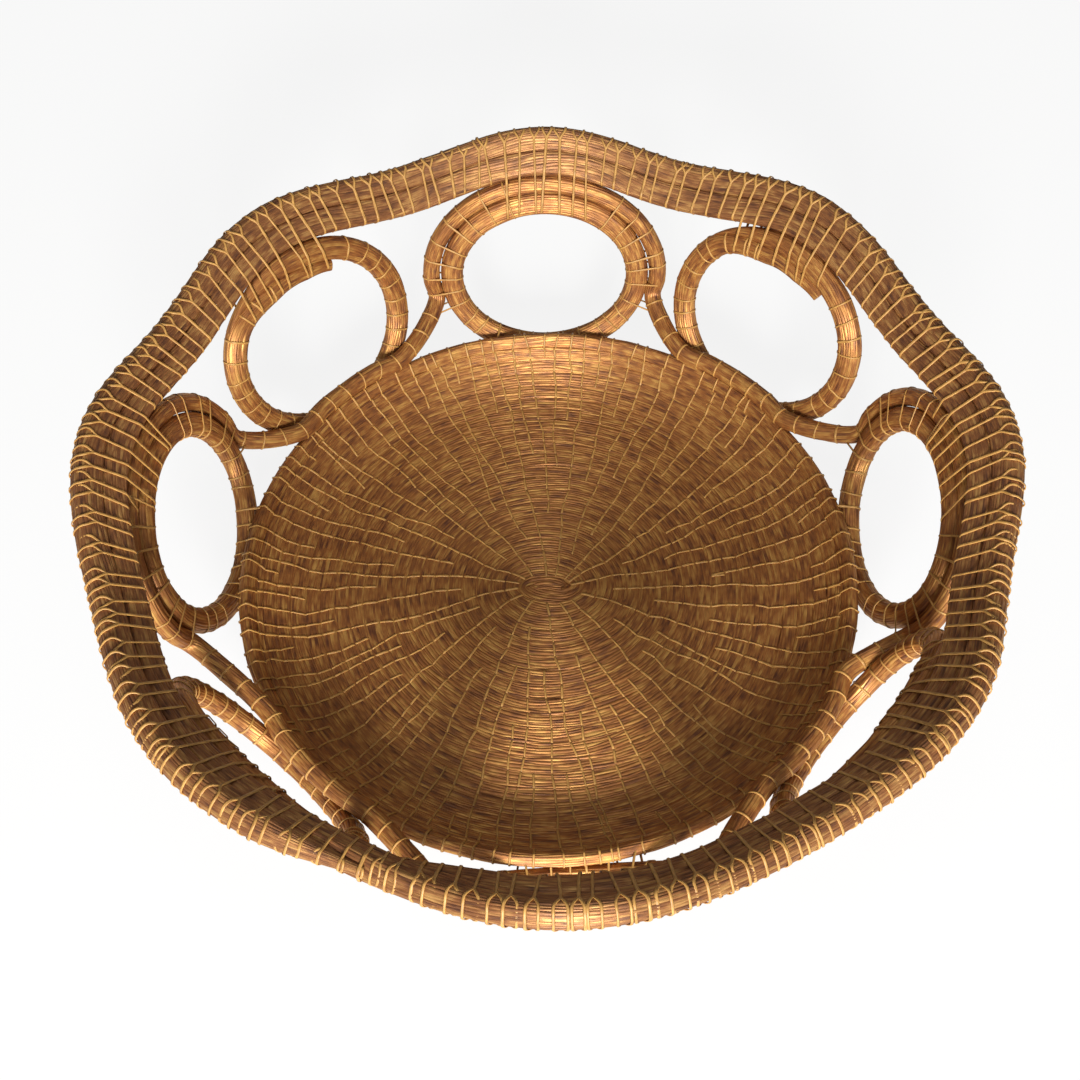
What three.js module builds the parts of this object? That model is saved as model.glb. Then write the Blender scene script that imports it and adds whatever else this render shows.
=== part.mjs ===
// Fruit bowl of golden grass: a coiled dish, a gallery of coiled rings with a wave coil
// running over and under them, and a wound rim, all sewn together with palm thread.
// Millimetres, +Z up, standing on z = 0 with the axis of the dish on the Z axis.
import * as THREE from "three";

const rad = THREE.MathUtils.degToRad;

// Clearances
const coilGap = 0.5; // between coils sewn side by side
const threadGap = 0.4; // between a thread and the coils it binds

// Sewing thread
const thread = 0.7; // thickness
const lashTurns = 2; // turns in each lashing
const lashPitch = 8; // from one turn to the next

// Dish
const dishCoil = 5.4; // coil of the floor and the wall
const edgeCoil = 5.4; // coil of the top row
const floorRadius = 86; // flat part of the floor
const wallBend = 36.5; // radius of the bend from the floor up to the edge
const wallSlope = rad(50); // slope of the wall at the edge
const wallTip = 0.8; // width where the last turn of the wall runs out

// Rings, low and high ones by turns
const ringPairs = 4; // one low and one high ring in each
const ringDrift = [0, 2.5, 3.2, 7.3, 3.6, -0.3, -3.8, -0.9].map(rad); // each ring off its even place
const ringRope = 8.5; // coil of a ring, in the ring's plane
const ringThick = 6.6; // the same coil, across the plane
const ringHeight = 71.3; // centre line of a high ring, from its foot to the rim
const ringCorner = 5.5; // room from a ring to the corner between the two nearest rings
const ringSeat = rad(-57); // direction from the edge row to a ring's foot
const lowLean = rad(68.5); // slope of a low ring's plane
const highLean = rad(70.5); // the same for a high ring
const tailTurn = 0.12; // overlap of a high ring's coil, in turns
const tailTip = 4; // thickness at the end of the tail
const tailFrom = rad(-12); // where the overlap starts, from the ring's top

// Wave coil
const waveRope = 6.6; // thickness
const waveSeat = rad(62); // direction from the edge row to the wave coil on it
const waveLay = 27; // length that lies on the edge row, each side of a high ring
const waveLeave = rad(105); // where it leaves a low ring, from the ring's top

// Rim
const rimCoil = 8.6; // coil of the rim
const rimFlare = rad(43); // slope of the band from its inner to its outer row
const rimSwell = 2.2; // half of the swing outwards at each ring
const rimRise = 2.85; // half of the swing upwards at each ring
const rimStep = rad(40); // length over which the coil steps to the outer row

// Facets
const loopSteps = 24; // steps in a loop
const coilSides = 6;
const threadSides = 4;
const lashSteps = 16; // steps in one turn of a lashing
const waveSteps = 160;
const rimSteps = 72; // steps in one turn of the rim

const fullTurn = 2 * Math.PI;
const ringCount = 2 * ringPairs;
const dishPitch = dishCoil + coilGap;
const floorLevel = (dishCoil / 2) * Math.cos(Math.PI / coilSides);
const threadSeam = thread + 3 * threadGap; // the thread passes through it at a slant

function polar(azimuth, radius, height) {
  return new THREE.Vector3(radius * Math.cos(azimuth), radius * Math.sin(azimuth), height);
}

// Corners of a swept section at each station: a centre, an up axis and half sizes.
function sweep(stations, sides, closed) {
  const count = stations.length;
  return stations.map((station, i) => {
    const before = stations[closed ? (i + count - 1) % count : Math.max(i - 1, 0)];
    const after = stations[closed ? (i + 1) % count : Math.min(i + 1, count - 1)];
    const along = after.centre.clone().sub(before.centre).normalize();
    const side = station.up.clone().cross(along).normalize();
    const up = along.clone().cross(side);
    return Array.from({ length: sides }, (_, k) => {
      const angle = (fullTurn * k) / sides;
      return station.centre
        .clone()
        .addScaledVector(side, station.wide * Math.cos(angle))
        .addScaledVector(up, station.tall * Math.sin(angle));
    });
  });
}

// A closed tube over those corners, with flat ends unless it runs back into itself.
function tube(rings, closed) {
  const sides = rings[0].length;
  const faces = [];
  const spans = closed ? rings.length : rings.length - 1;
  for (let i = 0; i < spans; i++) {
    const here = i * sides;
    const next = ((i + 1) % rings.length) * sides;
    for (let k = 0; k < sides; k++) {
      const m = (k + 1) % sides;
      faces.push(here + k, here + m, next + m, here + k, next + m, next + k);
    }
  }
  if (!closed) {
    const end = (rings.length - 1) * sides;
    for (let k = 1; k < sides - 1; k++) {
      faces.push(0, k + 1, k);
      faces.push(end, end + k, end + k + 1);
    }
  }
  const geometry = new THREE.BufferGeometry().setFromPoints(rings.flat());
  geometry.setIndex(faces);
  geometry.computeVertexNormals();
  return geometry;
}

// Least distance between corners at least half a loop apart along the tube.
function leastGap(rings, loop) {
  let least = Infinity;
  for (let i = 0; i < rings.length; i++)
    for (let j = i + Math.ceil(loop / 2); j < rings.length; j++)
      for (const p of rings[i])
        for (const q of rings[j]) least = Math.min(least, p.distanceTo(q));
  return least;
}

const bowl = new THREE.Group();
bowl.name = "fruit_bowl";

function add(name, geometry, color, roughness) {
  const material = new THREE.MeshStandardMaterial({ color, roughness, metalness: 0 });
  const mesh = new THREE.Mesh(geometry, material);
  mesh.name = name;
  bowl.add(mesh);
}

function addCoil(name, stations, closed = false, loop = loopSteps) {
  const rings = sweep(stations, coilSides, closed);
  if (!closed)
    console.log(name + " least gap to itself " + leastGap(rings, loop).toFixed(2) + " mm");
  add(name, tube(rings, closed), 0xb07a3a, 0.45);
}

// Dish: the coil's rows are counted along the section of the dish, from its middle outwards.
// Where the wall bends up, a row tilts over its lower corner and so never dips below the floor.
function dishSection(length) {
  const bend = Math.max(length - floorRadius, 0) / wallBend;
  const flat = Math.min(length, floorRadius);
  const tilt = (dishCoil / 4) * Math.sin(bend);
  return {
    radius: flat + wallBend * Math.sin(bend),
    height: floorLevel + wallBend * (1 - Math.cos(bend)) + tilt,
    slope: bend,
  };
}

function dishStation(azimuth, length, wide) {
  const { radius, height, slope } = dishSection(length);
  return {
    centre: polar(azimuth, radius, height),
    up: polar(azimuth, -Math.sin(slope), Math.cos(slope)),
    wide,
    tall: dishCoil / 2,
  };
}

// Turns from one to another, with a stop at each step of a loop between them.
function turnStops(from, to) {
  const stops = [from];
  for (let step = Math.floor(from * loopSteps) + 1; step < to * loopSteps; step++)
    stops.push(step / loopSteps);
  return [...stops, to];
}

const spiralStart = 0.6; // turns left out in the middle, where the coil is too tight to bend
const spiralRow = (turn) => turn * dishPitch;
const floorEnd = Math.round((loopSteps * floorRadius) / dishPitch) / loopSteps; // on a step
const edgeRow = floorRadius + wallBend * wallSlope;
const wallTop = edgeRow - edgeCoil / 2 - threadSeam;
const wallStart = floorEnd + (2 * coilGap) / (fullTurn * floorRadius);
const wallEnd = (wallTop - wallTip + dishCoil / 2) / dishPitch;

addCoil(
  "floor_coil",
  turnStops(spiralStart, floorEnd).map((turn) =>
    dishStation(turn * fullTurn, spiralRow(turn), dishCoil / 2),
  ),
);

// The wall's last turn thins out under a level top, so that the edge row lies flat on it.
addCoil(
  "wall_coil",
  turnStops(wallStart, wallEnd).map((turn) => {
    const inner = spiralRow(turn) - dishCoil / 2;
    const outer = Math.min(inner + dishCoil, wallTop);
    return dishStation(turn * fullTurn, (inner + outer) / 2, (outer - inner) / 2);
  }),
);

const edge = dishSection(edgeRow);
addCoil(
  "edge_coil",
  Array.from({ length: 2 * loopSteps }, (_, i) => ({
    centre: polar((fullTurn * i) / (2 * loopSteps), edge.radius, edge.height),
    up: polar((fullTurn * i) / (2 * loopSteps), -Math.sin(edge.slope), Math.cos(edge.slope)),
    wide: edgeCoil / 2,
    tall: edgeCoil / 2,
  })),
  true,
);

// Rings: each lies in a plane that leans outwards, with its foot outside the edge row.
const ringReach = edgeCoil / 2 + ringRope / 2 + coilGap;
const ringFoot = {
  radius: edge.radius + ringReach * Math.cos(ringSeat),
  height: edge.height + ringReach * Math.sin(ringSeat),
};

// High rings carry the inner row of the rim.
const rimReach = ringRope / 2 + coilGap + rimCoil / 2;
const rimSeat = {
  radius: ringFoot.radius + ringHeight * Math.cos(highLean) + rimReach * Math.cos(rimFlare),
  height: ringFoot.height + ringHeight * Math.sin(highLean) + rimReach * Math.sin(rimFlare),
};

// Low rings leave room for the wave coil between them and the rim.
const waveOnRing = ringRope / 2 + coilGap + waveRope / 2;
const waveUnderRim = waveRope / 2 + coilGap + rimCoil / 2;
const lowHeight = (() => {
  const out = rimSeat.radius - ringFoot.radius;
  const up = rimSeat.height - ringFoot.height;
  const along = out * Math.cos(lowLean) + up * Math.sin(lowLean);
  const aside = out * Math.sin(lowLean) - up * Math.cos(lowLean);
  return along - Math.sqrt(Math.max(waveUnderRim ** 2 - aside ** 2, 0)) - waveOnRing;
})();

const ringAzimuth = (index) =>
  Math.PI / 2 - (fullTurn * index) / ringCount + ringDrift[index % ringDrift.length];
const forwardTurn = (from, to) => THREE.MathUtils.euclideanModulo(to - from, fullTurn);
const azimuths = Array.from({ length: ringCount }, (_, i) => ringAzimuth(i));
const tightest = Math.min(
  ...azimuths.map((azimuth, i) => forwardTurn(azimuths[(i + 1) % ringCount], azimuth)),
);

function makeRing(azimuth, index) {
  const low = index % 2 === 0;
  const lean = low ? lowLean : highLean;
  const half = (low ? lowHeight : ringHeight) / 2;
  const radius = ringFoot.radius + half * Math.cos(lean);
  const height = ringFoot.height + half * Math.sin(lean);
  return {
    azimuth,
    low,
    halfHeight: half,
    halfWidth: radius * Math.tan(tightest / 2) - ringCorner - ringRope / 2,
    topRadius: radius + half * Math.cos(lean),
    centre: polar(azimuth, radius, height),
    across: polar(azimuth - Math.PI / 2, 1, 0),
    slope: polar(azimuth, Math.cos(lean), Math.sin(lean)),
    inwards: polar(azimuth, -Math.sin(lean), Math.cos(lean)),
  };
}
const allRings = azimuths.map(makeRing);

// A point of a ring's plane, at an angle from its top.
function ringPoint(ring, angle, halfWidth, halfHeight) {
  return ring.centre
    .clone()
    .addScaledVector(ring.across, halfWidth * Math.sin(angle))
    .addScaledVector(ring.slope, halfHeight * Math.cos(angle));
}

// Half width of a high ring's coil, which starts thin, fills up and thins out to its tail.
const tailDraw = 2 * tailTurn; // turns over which the coil thins out
function ringHalf(turn) {
  const left = Math.max(1 + tailTurn - turn, 0);
  const share = Math.min(turn / (tailTurn / 2), left / tailDraw, 1);
  return (tailTip + (ringRope - tailTip) * share) / 2;
}

// How far the coil has moved inwards, to pass inside its own start.
function ringInset(turn) {
  const shift = (t) => ringHalf(t - 1) + coilGap + ringHalf(t);
  if (turn >= 1) return shift(turn);
  const share = THREE.MathUtils.smoothstep(turn, 1 - tailTurn, 1);
  return share * shift(1);
}

// A low ring's coil has the same width all the way and runs back into itself.
function ringStation(ring, turn) {
  const angle = tailFrom + turn * fullTurn;
  const inset = ring.low ? 0 : ringInset(turn);
  const half = ring.low ? ringRope / 2 : ringHalf(turn);
  return {
    centre: ringPoint(ring, angle, ring.halfWidth - inset, ring.halfHeight - inset),
    up: ring.inwards,
    wide: half,
    tall: (half * ringThick) / ringRope,
  };
}

allRings.forEach((ring, i) => {
  const turns = turnStops(0, ring.low ? 1 : 1 + tailTurn);
  if (ring.low) turns.pop();
  addCoil("ring_" + (i + 1), turns.map((turn) => ringStation(ring, turn)), ring.low);
});

// Rim: a coil of two turns, the inner row sewn to the tops of the high rings.
const rimPitch = rimCoil + coilGap;
function rimSection(azimuth, row) {
  const behind = Math.min(...azimuths.map((ring) => forwardTurn(ring, azimuth)));
  const ahead = Math.min(...azimuths.map((ring) => forwardTurn(azimuth, ring)));
  const swing = Math.cos((fullTurn * behind) / (behind + ahead || 1)) - 1;
  return {
    radius: rimSeat.radius + row * rimPitch * Math.cos(rimFlare) + rimSwell * swing,
    height: rimSeat.height + row * rimPitch * Math.sin(rimFlare) + rimRise * swing,
  };
}

const rimStepAt = (azimuths[ringPairs] + azimuths[ringPairs + 1]) / 2; // between two rings
const rimHalfStep = rimStep / 2 / fullTurn;
const rimRow = (turn) => THREE.MathUtils.smoothstep(turn, 1 - rimHalfStep, 1 + rimHalfStep);

// Each end thins out where the step leaves it less than a full row.
function rimHalf(turn) {
  const nearest = turn < 1 ? rimRow(turn + 1) : 1 - rimRow(turn - 1);
  const room = nearest * rimPitch - coilGap - rimCoil / 2;
  return Math.min(Math.abs(turn - 1) < 0.5 ? rimCoil / 2 : room, rimCoil / 2);
}

const rimStations = [];
for (let step = 0; step <= 2 * rimSteps; step++) {
  const turn = step / rimSteps;
  const half = rimHalf(turn);
  if (half < rimCoil / 8) continue;
  const azimuth = rimStepAt + turn * fullTurn;
  const { radius, height } = rimSection(azimuth, rimRow(turn));
  rimStations.push({
    centre: polar(azimuth, radius, height),
    up: polar(azimuth, -Math.sin(rimFlare), Math.cos(rimFlare)),
    wide: half,
    tall: half,
  });
}
addCoil("rim_coil", rimStations, false, rimSteps);

// Wave coil: round each low ring, under the rim, and along the dish edge before each high ring.
const waveReach = edgeCoil / 2 + coilGap + waveRope / 2;
const waveFoot = {
  radius: edge.radius + waveReach * Math.cos(waveSeat),
  height: edge.height + waveReach * Math.sin(waveSeat),
};

function waveOver(ring, angle) {
  const halfWidth = ring.halfWidth + waveOnRing + coilGap;
  return ringPoint(ring, angle, halfWidth, ring.halfHeight + waveOnRing);
}

const wavePath = [];
allRings.forEach((ring) => {
  if (ring.low) {
    for (let i = -8; i <= 8; i++) wavePath.push(waveOver(ring, (waveLeave * i) / 8));
  } else {
    for (let i = -2; i <= 2; i++) {
      const azimuth = ring.azimuth - ((waveLay / edge.radius) * i) / 2;
      wavePath.push(polar(azimuth, waveFoot.radius, waveFoot.height));
    }
  }
});
const waveCurve = new THREE.CatmullRomCurve3(wavePath, true, "centripetal");
const waveStations = waveCurve
  .getSpacedPoints(waveSteps)
  .slice(0, waveSteps)
  .map((centre) => ({
    centre,
    up: polar(Math.atan2(centre.y, centre.x), -Math.sin(lowLean), Math.cos(lowLean)),
    wide: waveRope / 2,
    tall: waveRope / 2,
  }));
addCoil("wave_coil", waveStations, true);

// Lashings: thread wound round the coils that meet at a ring's foot or at its top.
function circleOf(station) {
  const { centre, wide } = station;
  return { radius: Math.hypot(centre.x, centre.y), height: centre.z, half: wide };
}

function ringCircles(ring, azimuth, atTop) {
  const middle = atTop ? ring.topRadius : ringFoot.radius;
  const turned = ring.azimuth - azimuth;
  const across = Math.asin((middle * Math.tan(turned)) / ring.halfWidth);
  const angle = atTop ? across : Math.PI - across;
  const turn = (angle - tailFrom) / fullTurn;
  return [turn, turn + 1]
    .filter((t) => t <= 1 + tailTurn)
    .map((t) => circleOf(ringStation(ring, t)));
}

function waveCircle(azimuth) {
  const turned = (station) => {
    const { x, y } = station.centre;
    return Math.abs(x * Math.sin(azimuth) - y * Math.cos(azimuth)) +
      (x * Math.cos(azimuth) + y * Math.sin(azimuth) < 0 ? Infinity : 0);
  };
  const nearest = waveStations.reduce((a, b) => (turned(a) < turned(b) ? a : b));
  return circleOf(nearest);
}

function footCircles(ring, azimuth) {
  const row = { radius: edge.radius, height: edge.height, half: edgeCoil / 2 };
  const wave = ring.low ? [] : [{ ...waveFoot, half: waveRope / 2 }];
  return [row, ...wave, ...ringCircles(ring, azimuth, false)];
}

function topCircles(ring, azimuth) {
  const rows = [0, 1].map((row) => ({ ...rimSection(azimuth, row), half: rimCoil / 2 }));
  const wave = ring.low ? [waveCircle(azimuth)] : [];
  return [...rows, ...wave, ...ringCircles(ring, azimuth, true)];
}

// The thread keeps outside every coil: at each step it takes the one that reaches furthest.
function addLashing(name, ring, circlesAt) {
  const steps = lashTurns * lashSteps;
  const stations = [];
  for (let step = 0; step <= steps; step++) {
    const slide = (step / steps - 0.5) * lashTurns * lashPitch;
    const azimuth = ring.azimuth + slide / ring.topRadius;
    const turned = (fullTurn * step) / lashSteps;
    const out = Math.cos(turned);
    const up = Math.sin(turned);
    const reachOf = (c) => c.radius * out + c.height * up + c.half;
    const furthest = circlesAt(ring, azimuth).reduce((a, b) => (reachOf(a) > reachOf(b) ? a : b));
    const reach = (furthest.half + threadGap + thread / 2) / Math.cos(Math.PI / lashSteps);
    stations.push({
      centre: polar(azimuth, furthest.radius + reach * out, furthest.height + reach * up),
      up: polar(azimuth, out, up),
      wide: thread / 2,
      tall: thread / 2,
    });
  }
  add(name, tube(sweep(stations, threadSides, false), false), 0xd9b06a, 0.5);
}

allRings.forEach((ring, i) => {
  addLashing("foot_lashing_" + (i + 1), ring, footCircles);
  addLashing("rim_lashing_" + (i + 1), ring, topCircles);
});

export default bowl;
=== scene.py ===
import math

import bpy
import numpy as np
from mathutils import Matrix


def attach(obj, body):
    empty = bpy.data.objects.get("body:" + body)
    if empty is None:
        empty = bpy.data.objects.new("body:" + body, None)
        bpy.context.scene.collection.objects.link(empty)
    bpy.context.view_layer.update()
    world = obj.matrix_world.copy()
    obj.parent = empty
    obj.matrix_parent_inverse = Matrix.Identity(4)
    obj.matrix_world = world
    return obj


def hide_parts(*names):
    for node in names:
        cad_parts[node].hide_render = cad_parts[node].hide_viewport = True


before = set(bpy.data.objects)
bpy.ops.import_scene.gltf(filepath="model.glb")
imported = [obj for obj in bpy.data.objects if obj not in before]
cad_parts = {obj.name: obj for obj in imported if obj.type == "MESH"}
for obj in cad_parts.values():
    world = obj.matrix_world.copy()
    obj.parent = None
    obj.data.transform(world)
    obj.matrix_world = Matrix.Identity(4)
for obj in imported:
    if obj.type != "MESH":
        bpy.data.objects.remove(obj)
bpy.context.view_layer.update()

rng = np.random.default_rng(52)
fullTurn = 2 * math.pi
mm = 0.001
print("frame loaded:", len(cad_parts), "solids")


# camera: stands on the near side, looks down into the bowl
camera = {
    "eye": (0.0, -0.2721, 0.4644),    # m
    "down": 57.493,     # degrees below the horizon
    "turn": -0.58,      # degrees to the right
    "roll": -1.15,      # degrees
    "lens": 45.84,      # mm
    "sensor": 36.0,     # mm
    "nearest": 0.01,    # m, clip start
}


# stands a camera or a lamp at a spot, looking away from its back
def standAt(thing, across, above, back, spot):
    stand = Matrix.Identity(4)
    for row in range(3):
        stand[row][0], stand[row][1], stand[row][2] = across[row], above[row], back[row]
        stand[row][3] = spot[row]
    thing.matrix_world = stand
    bpy.context.collection.objects.link(thing)


def addCamera():
    down, turn, roll = (math.radians(camera[k]) for k in ("down", "turn", "roll"))
    level = math.cos(down)
    look = np.array([math.sin(turn) * level, math.cos(turn) * level, -math.sin(down)])
    right = np.cross(look, (0, 0, 1))
    right /= np.linalg.norm(right)
    up = np.cross(right, look)
    across = right * math.cos(roll) + up * math.sin(roll)
    above = up * math.cos(roll) - right * math.sin(roll)
    data = bpy.data.cameras.new("photo_camera")
    data.lens = camera["lens"]
    data.sensor_width = camera["sensor"]
    data.sensor_fit = "HORIZONTAL"
    data.clip_start = camera["nearest"]
    eye = bpy.data.objects.new("photo_camera", data)
    standAt(eye, across, above, -look, camera["eye"])
    bpy.context.scene.camera = eye


addCamera()
bpy.context.scene.view_settings.view_transform = "Standard"
print("camera set")


# materials: sRGB hex to linear, by the sRGB curve
def hexColour(code):
    parts = [int(code[i:i + 2], 16) / 255 for i in (1, 3, 5)]
    linear = [c / 12.92 if c <= 0.04045 else ((c + 0.055) / 1.055) ** 2.4 for c in parts]
    return (*linear, 1.0)


def addNode(tree, kind, inputs=None, **settings):
    made = tree.nodes.new(kind)
    for key, value in settings.items():
        setattr(made, key, value)
    for key, value in (inputs or {}).items():
        if isinstance(value, bpy.types.NodeSocket):
            tree.links.new(value, made.inputs[key])
        else:
            made.inputs[key].default_value = value
    return made


# a material that follows the grain: x along a stem or thread, y round it
def grainMaterial(name, look):
    mat = bpy.data.materials.new(name)
    mat.use_nodes = True
    tree = mat.node_tree
    shader = tree.nodes["Principled BSDF"]
    for key, value in look["shader"].items():
        shader.inputs[key].default_value = value
    return mat, tree, shader, addNode(tree, "ShaderNodeUVMap", uv_map="grain")


# fine fibres along the skin: their relief here, and their tone for the rest of the material
def addFibres(tree, shader, grain, look):
    spread = addNode(tree, "ShaderNodeMapping", {
        "Vector": grain.outputs["UV"],
        "Scale": (1 / (look["fibreLong"] * mm), 1 / (look["fibre"] * mm), 1),
    })
    fibre = addNode(tree, "ShaderNodeTexNoise", {
        "Vector": spread.outputs[0], "Scale": 1.0, "Detail": 2.0, "Roughness": look["fibreRough"],
    }, noise_dimensions="2D")
    bump = addNode(tree, "ShaderNodeBump", {
        "Height": fibre.outputs["Fac"], "Strength": look["bump"], "Distance": look["fibreDeep"] * mm,
    })
    tree.links.new(bump.outputs[0], shader.inputs["Normal"])
    return fibre.outputs["Fac"]


def addTones(tree, shader, tone, look):
    ramp = addNode(tree, "ShaderNodeValToRGB", {"Fac": tone})
    stops = ramp.color_ramp.elements
    stops[0].position, stops[0].color = look["darkAt"], hexColour(look["dark"])
    stops[1].position, stops[1].color = look["lightAt"], hexColour(look["light"])
    if "middle" in look:
        stops.new(look["middleAt"]).color = hexColour(look["middle"])
    tree.links.new(ramp.outputs["Color"], shader.inputs["Base Color"])


# Golden grass stems, dried and left bare: a hard, glossy skin that flashes gold along the
# stem when the light lies across it and goes brown when it doesn't.
grassLook = {
    "stem": 1.1,          # mm, width of one stem, as in the meshes
    "hold": 9.0,          # mm along a stem before its tone changes
    "stemApart": 5.37,    # steps in the noise from one stem to the next
    "stemRough": 0.55,
    "fibre": 0.35,        # mm, drawn coarser than the real 0.05 so that it shows
    "fibreLong": 7.0, "fibreDeep": 0.12, "fibreRough": 0.6, "bump": 0.5,
    "fibreShare": 0.3,    # of the tone, and the stem gives the rest
    "dark": "#643B2B", "darkAt": 0.3,
    "middle": "#9E6536", "middleAt": 0.5,
    "light": "#CB9A53", "lightAt": 0.72,
    "gloss": "#FFDFB0",
    "rough": {"From Min": 0.3, "From Max": 0.7, "To Min": 0.39, "To Max": 0.49},
    "shader": {"Anisotropic": 0.6, "Anisotropic Rotation": 0.25, "IOR": 1.6,
               "Specular IOR Level": 0.7, "Metallic": 0.42},
}
# the rim takes a darker copy of the same grass: painted shade, to tone down how brightly the rim is lit
rimShadedGrassLook = {**grassLook, "dark": "#59382C", "middle": "#8D5B37", "light": "#C09257"}


def dryGrass(name, look):
    mat, tree, shader, grain = grainMaterial(name, look)
    fibre = addFibres(tree, shader, grain, look)

    # one tone per stem, changing slowly along it
    parts = addNode(tree, "ShaderNodeSeparateXYZ", {"Vector": grain.outputs["UV"]})
    stemAt = addNode(tree, "ShaderNodeMath", {0: parts.outputs["Y"], 1: look["stem"] * mm},
                     operation="DIVIDE")
    stemNo = addNode(tree, "ShaderNodeMath", {0: stemAt.outputs[0]}, operation="FLOOR")
    stemSeed = addNode(tree, "ShaderNodeMath", {0: stemNo.outputs[0], 1: look["stemApart"]},
                       operation="MULTIPLY")
    run = addNode(tree, "ShaderNodeMath", {0: parts.outputs["X"], 1: 1 / (look["hold"] * mm)},
                  operation="MULTIPLY")
    stemPlace = addNode(tree, "ShaderNodeCombineXYZ", {"X": run.outputs[0], "Y": stemSeed.outputs[0]})
    stemTone = addNode(tree, "ShaderNodeTexNoise", {
        "Vector": stemPlace.outputs[0], "Scale": 1.0, "Detail": 2.0, "Roughness": look["stemRough"],
    }, noise_dimensions="2D")
    tone = addNode(tree, "ShaderNodeMix", {
        "Factor": look["fibreShare"], "A": stemTone.outputs["Fac"], "B": fibre,
    }, data_type="FLOAT")
    addTones(tree, shader, tone.outputs[0], look)

    # a shine that follows the grain
    rough = addNode(tree, "ShaderNodeMapRange", {"Value": fibre, **look["rough"]})
    tree.links.new(rough.outputs[0], shader.inputs["Roughness"])
    tangent = addNode(tree, "ShaderNodeTangent", direction_type="UV_MAP", uv_map="grain")
    tree.links.new(tangent.outputs[0], shader.inputs["Tangent"])
    shader.inputs["Specular Tint"].default_value = hexColour(look["gloss"])
    return mat


# Palm leaf fibre, split and twisted into sewing thread: pale straw, softer shine than the grass.
threadLook = {
    "fibre": 0.2,         # mm, drawn coarser than the real 0.08 so that it shows
    "fibreLong": 3.0, "fibreDeep": 0.05, "fibreRough": 0.5, "bump": 0.4,
    "dark": "#946732", "darkAt": 0.3,
    "light": "#C6964F", "lightAt": 0.62,
    "shader": {"Roughness": 0.5, "IOR": 1.5},
    "sides": 6, "girth": 2.4,    # corners and mm round a thread
    "shift": 200.0,       # mm, a stitch starts anywhere in this length of the pattern
}


def palmFibre(name, look):
    mat, tree, shader, grain = grainMaterial(name, look)
    addTones(tree, shader, addFibres(tree, shader, grain, look), look)
    return mat


grass = dryGrass("golden_grass_dried_stems", grassLook)
# darker copy of the grass for the rim: its tones are painted shade
rimShadedGrass = dryGrass("golden_grass_dried_stems_painted_shade", rimShadedGrassLook)
palm = palmFibre("palm_fibre_split_thread", threadLook)
print("materials made")


# mesh helpers, all in millimetres until the mesh is written
def unit(v):
    return v / np.maximum(np.linalg.norm(v, axis=-1, keepdims=True), 1e-9)


def polar(azimuth, radius, height):
    azimuth, radius, height = np.broadcast_arrays(azimuth, radius, height)
    return np.stack([radius * np.cos(azimuth), radius * np.sin(azimuth), height], axis=-1)


def smooth(value, low, high):
    share = np.clip((np.asarray(value, float) - low) / (high - low), 0, 1)
    return share * share * (3 - 2 * share)


def signedPower(value, power):
    return np.sign(value) * np.abs(value) ** power


# ways along a line at its points, and the length from each point to the next
def lineWays(line, closed):
    if closed:
        ahead = np.roll(line, -1, -2)
        ways, legs = ahead - np.roll(line, 1, -2), ahead - line
    else:
        ways, legs = np.gradient(line, axis=-2), np.diff(line, axis=-2, append=line[..., -1:, :])
    return unit(ways), np.linalg.norm(legs, axis=-1)


# slow random values along a coil, one lane for each stem
def wander(count, lanes, every, closed):
    knots = max(int(round(count / every)), 4)
    table = rng.uniform(-1, 1, (knots + 1, lanes))
    if closed:
        table[-1] = table[0]
    at = np.arange(count) * knots / (count if closed else max(count - 1, 1))
    low = np.minimum(at.astype(int), knots - 1)
    share = smooth(at - low, 0, 1)[:, None]
    return table[low] * (1 - share) + table[low + 1] * share


# section of a coil as a rounded square, by share of the way round: place, outward normal, girth
def sectionTable(wide, tall, square):
    turn = np.linspace(0, fullTurn, 721)
    x = signedPower(np.cos(turn), 2 / square)
    y = signedPower(np.sin(turn), 2 / square)
    reach = np.hypot(np.diff(x * wide), np.diff(y * tall))
    around = np.concatenate([[0], np.cumsum(reach)])
    dx, dy = np.gradient(x * wide), np.gradient(y * tall)
    size = np.hypot(dx, dy)
    return around / around[-1], x, y, dy / size, -dx / size, around[-1]


# points across the ridge of one stem, by what its place in the coil shows of it
ridge = {
    "shown": (0.0, 0.15, 0.38, 0.62, 0.85),
    "under": (0.0, 1 / 3, 2 / 3),
    "pressed": (0.0, 0.5),    # against the next row
    "turned": 0.4,            # a stem that faces up or down by more than this isn't pressed
}


def ridgePoints(facing, rows):
    stemOf, across = [], []
    for stem, way in enumerate(facing):
        kind = "shown" if way > ridge["turned"] else "under" if way < -ridge["turned"] else "pressed"
        points = ridge[kind if rows else "shown"]
        stemOf += [stem] * len(points)
        across += points
    return np.array(stemOf), np.array(across)


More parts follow.
